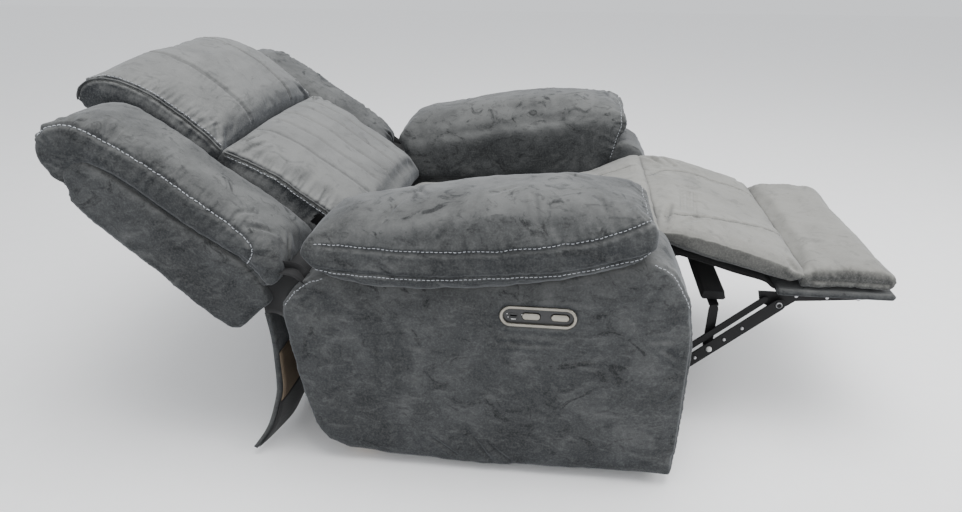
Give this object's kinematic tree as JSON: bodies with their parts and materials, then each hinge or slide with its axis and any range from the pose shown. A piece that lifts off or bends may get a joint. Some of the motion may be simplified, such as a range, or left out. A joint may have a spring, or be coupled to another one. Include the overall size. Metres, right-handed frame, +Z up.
{
  "type": "recliner armchair",
  "caption": "Power recliner armchair with padded arms, winged back, chaise footrest on steel links and a side control, shown reclined.",
  "frame": {"origin": "on the floor under the middle of the reclined chair", "axes": "+Z up, -Y the way the sitter faces, +X to the sitter's left"},
  "size_m": [1.056, 1.715, 0.77],
  "materials": {
    "upholstery": "brushed microfibre, charcoal grey",
    "lining": "black non-woven lining",
    "timber": "plywood and sawn timber",
    "card": "brown backing board",
    "painted_steel": "black powder coat",
    "bright_steel": "zinc plated",
    "champagne_metal": "satin champagne",
    "black_plastic": "satin black",
    "webbing": "elastic webbing"
  },
  "bodies": {
    "base": {"left_side_panel": "upholstery", "right_side_panel": "upholstery", "left_arm_frame": "timber", "right_arm_frame": "timber", "left_arm_pad": "upholstery", "right_arm_pad": "upholstery", "front_rail": "timber", "rear_rail": "timber", "feet": "black_plastic", "seat_left_rail": "timber", "seat_right_rail": "timber", "seat_front_rail": "timber", "seat_rear_rail": "timber", "seat_springs": "bright_steel", "seat_cushion": "upholstery", "seat_front_roll": "upholstery", "left_mechanism_plate": "painted_steel", "right_mechanism_plate": "painted_steel", "drive_rail": "bright_steel", "drive_motor": "black_plastic", "control_bezel": "champagne_metal", "control_face": "black_plastic", "charging_socket": "black_plastic", "rear_flap": "upholstery", "flap_board": "card"},
    "footrest": {"footrest_board": "upholstery", "footrest_pad": "upholstery", "chaise_pad": "upholstery", "left_footrest_bracket": "painted_steel", "right_footrest_bracket": "painted_steel"},
    "lower_links": {"left_lower_link": "painted_steel", "right_lower_link": "painted_steel", "torque_tube": "painted_steel", "drive_crank": "painted_steel"},
    "upper_links": {"left_upper_link": "painted_steel", "right_upper_link": "painted_steel", "middle_pivot_pins": "bright_steel", "link_rivets": "bright_steel"},
    "brace_links": {"left_brace_link": "painted_steel", "right_brace_link": "painted_steel"},
    "middle_rest": {"middle_board": "lining", "left_middle_bracket": "painted_steel", "right_middle_bracket": "painted_steel"},
    "drive_carriage": {"drive_fork": "bright_steel"},
    "back": {"headrest_cushion": "upholstery", "lumbar_cushion": "upholstery", "left_back_wing": "upholstery", "right_back_wing": "upholstery", "left_back_side": "upholstery", "right_back_side": "upholstery", "outside_back": "upholstery", "left_back_board": "timber", "right_back_board": "timber", "back_top_rail": "timber", "back_bottom_rail": "timber", "back_webbing": "webbing", "left_recline_bracket": "painted_steel", "right_recline_bracket": "painted_steel"},
    "open_key": {"open_button": "champagne_metal"},
    "close_key": {"close_button": "champagne_metal"}
  },
  "joints": [
    {"name": "footrest_fold", "type": "hinge", "parent": "base", "child": "footrest", "pos_m": [0, -0.4765, 0.41], "axis": [1, 0, 0], "range_deg": [0, 90]},
    {"name": "lower_link_swing", "type": "hinge", "parent": "base", "child": "lower_links", "pos_m": [0, -0.2565, 0.29], "axis": [1, 0, 0], "range_deg": [-1, 75.81]},
    {"name": "upper_link_swing", "type": "hinge", "parent": "lower_links", "child": "upper_links", "pos_m": [0, -0.40856, 0.11126], "axis": [1, 0, 0], "range_deg": [-65.72, 1]},
    {"name": "brace_link_swing", "type": "hinge", "parent": "lower_links", "child": "brace_links", "pos_m": [0, -0.37958, 0.11903], "axis": [1, 0, 0], "range_deg": [-65.72, 1]},
    {"name": "middle_board_swing", "type": "hinge", "parent": "upper_links", "child": "middle_rest", "pos_m": [0, -0.50219, 0.19557], "axis": [1, 0, 0], "range_deg": [-1, 80.91]},
    {"name": "drive_travel", "type": "slide", "parent": "base", "child": "drive_carriage", "axis": [0, 1, 0], "range_m": [-0.001, 0.0739]},
    {"name": "back_recline", "type": "hinge", "parent": "base", "child": "back", "pos_m": [0, 0.3485, 0.455], "axis": [1, 0, 0], "range_deg": [0, 30]},
    {"name": "open_press", "type": "slide", "parent": "base", "child": "open_key", "axis": [1, 0, 0], "range_m": [0, 0.0015], "stiffness_N_per_m": 500},
    {"name": "close_press", "type": "slide", "parent": "base", "child": "close_key", "axis": [1, 0, 0], "range_m": [0, 0.0015], "stiffness_N_per_m": 500}
  ],
  "couplings": [
    {"joint": "lower_link_swing", "follows": "footrest_fold", "ratio": 0.83128},
    {"joint": "upper_link_swing", "follows": "footrest_fold", "ratio": -0.71914},
    {"joint": "brace_link_swing", "follows": "footrest_fold", "ratio": -0.71914},
    {"joint": "middle_board_swing", "follows": "footrest_fold", "ratio": 0.88786},
    {"joint": "drive_travel", "follows": "footrest_fold", "m_per_rad": 0.046408}
  ]
}
